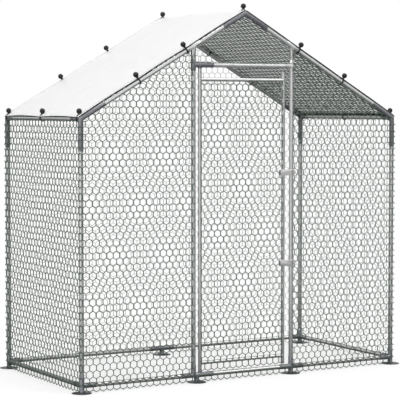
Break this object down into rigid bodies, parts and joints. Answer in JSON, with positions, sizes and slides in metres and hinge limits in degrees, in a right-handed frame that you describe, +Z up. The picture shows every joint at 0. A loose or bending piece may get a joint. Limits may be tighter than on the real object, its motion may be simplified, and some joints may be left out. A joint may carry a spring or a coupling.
{
  "type": "walk-in chicken coop",
  "caption": "Walk-in gabled poultry run: galvanised tube frame with sleeve fittings and foot plates, hexagonal wire netting, a pivot-hung netted door with hasps and a tied-down roof sheet.",
  "frame": {"origin": "on the ground under the middle of the run, halfway between the posts both ways", "axes": "+X along the front to the right as seen from outside, +Y from the front to the back, +Z up"},
  "size_m": [2.108, 1.068, 2.0685],
  "materials": {
    "galvanised_tube": "galvanised, satin",
    "fitting_steel": "grey coated, satin",
    "net_wire": "galvanised wire, dulled",
    "roof_sheet": "coated woven sheet, matt white",
    "ball_plastic": "moulded black",
    "elastic_cord": "braided black over rubber",
    "hasp_steel": "zinc plated"
  },
  "bodies": {
    "frame": {"apex_joints": "fitting_steel", "back_left_base_rail": "galvanised_tube", "back_left_post": "galvanised_tube", "back_left_rafter": "galvanised_tube", "back_net": "net_wire", "back_right_base_rail": "galvanised_tube", "back_right_post": "galvanised_tube", "back_right_rafter": "galvanised_tube", "base_corner_feet": "fitting_steel", "base_tee_feet": "fitting_steel", "bungee_balls": "ball_plastic", "bungee_cords": "elastic_cord", "door_lintel": "galvanised_tube", "door_sill": "galvanised_tube", "eave_corners": "fitting_steel", "front_gable_net": "net_wire", "front_left_base_rail": "galvanised_tube", "front_left_net": "net_wire", "front_left_post": "galvanised_tube", "front_left_rafter": "galvanised_tube", "front_right_base_rail": "galvanised_tube", "front_right_net": "net_wire", "front_right_post": "galvanised_tube", "front_right_rafter": "galvanised_tube", "hasp_staples": "hasp_steel", "hinge_jamb": "galvanised_tube", "latch_jamb": "galvanised_tube", "left_base_rail": "galvanised_tube", "left_eave_bar": "galvanised_tube", "left_net": "net_wire", "lintel_tees": "fitting_steel", "rafter_tees": "fitting_steel", "ridge_bar": "galvanised_tube", "right_base_rail": "galvanised_tube", "right_eave_bar": "galvanised_tube", "right_net": "net_wire", "roof_cover": "roof_sheet", "roof_nets": "net_wire"},
    "door": {"door_hinge_stile": "galvanised_tube", "door_latch_stile": "galvanised_tube", "door_top_rail": "galvanised_tube", "door_bottom_rail": "galvanised_tube", "door_net": "net_wire", "hasp_lugs": "hasp_steel"},
    "lower_hasp": {"lower_hasp_strap": "hasp_steel"},
    "upper_hasp": {"upper_hasp_strap": "hasp_steel"}
  },
  "joints": [
    {"name": "door_swing", "type": "hinge", "parent": "frame", "child": "door", "pos_m": [-0.285, -0.48, 0.9], "axis": [0, 0, -1], "range_deg": [0, 120]},
    {"name": "lower_hasp_swing", "type": "hinge", "parent": "door", "child": "lower_hasp", "pos_m": [0.219, -0.49785, 0.628], "axis": [0, 0, -1], "range_deg": [0, 170]},
    {"name": "upper_hasp_swing", "type": "hinge", "parent": "door", "child": "upper_hasp", "pos_m": [0.219, -0.49785, 1.136], "axis": [0, 0, -1], "range_deg": [0, 170]}
  ]
}
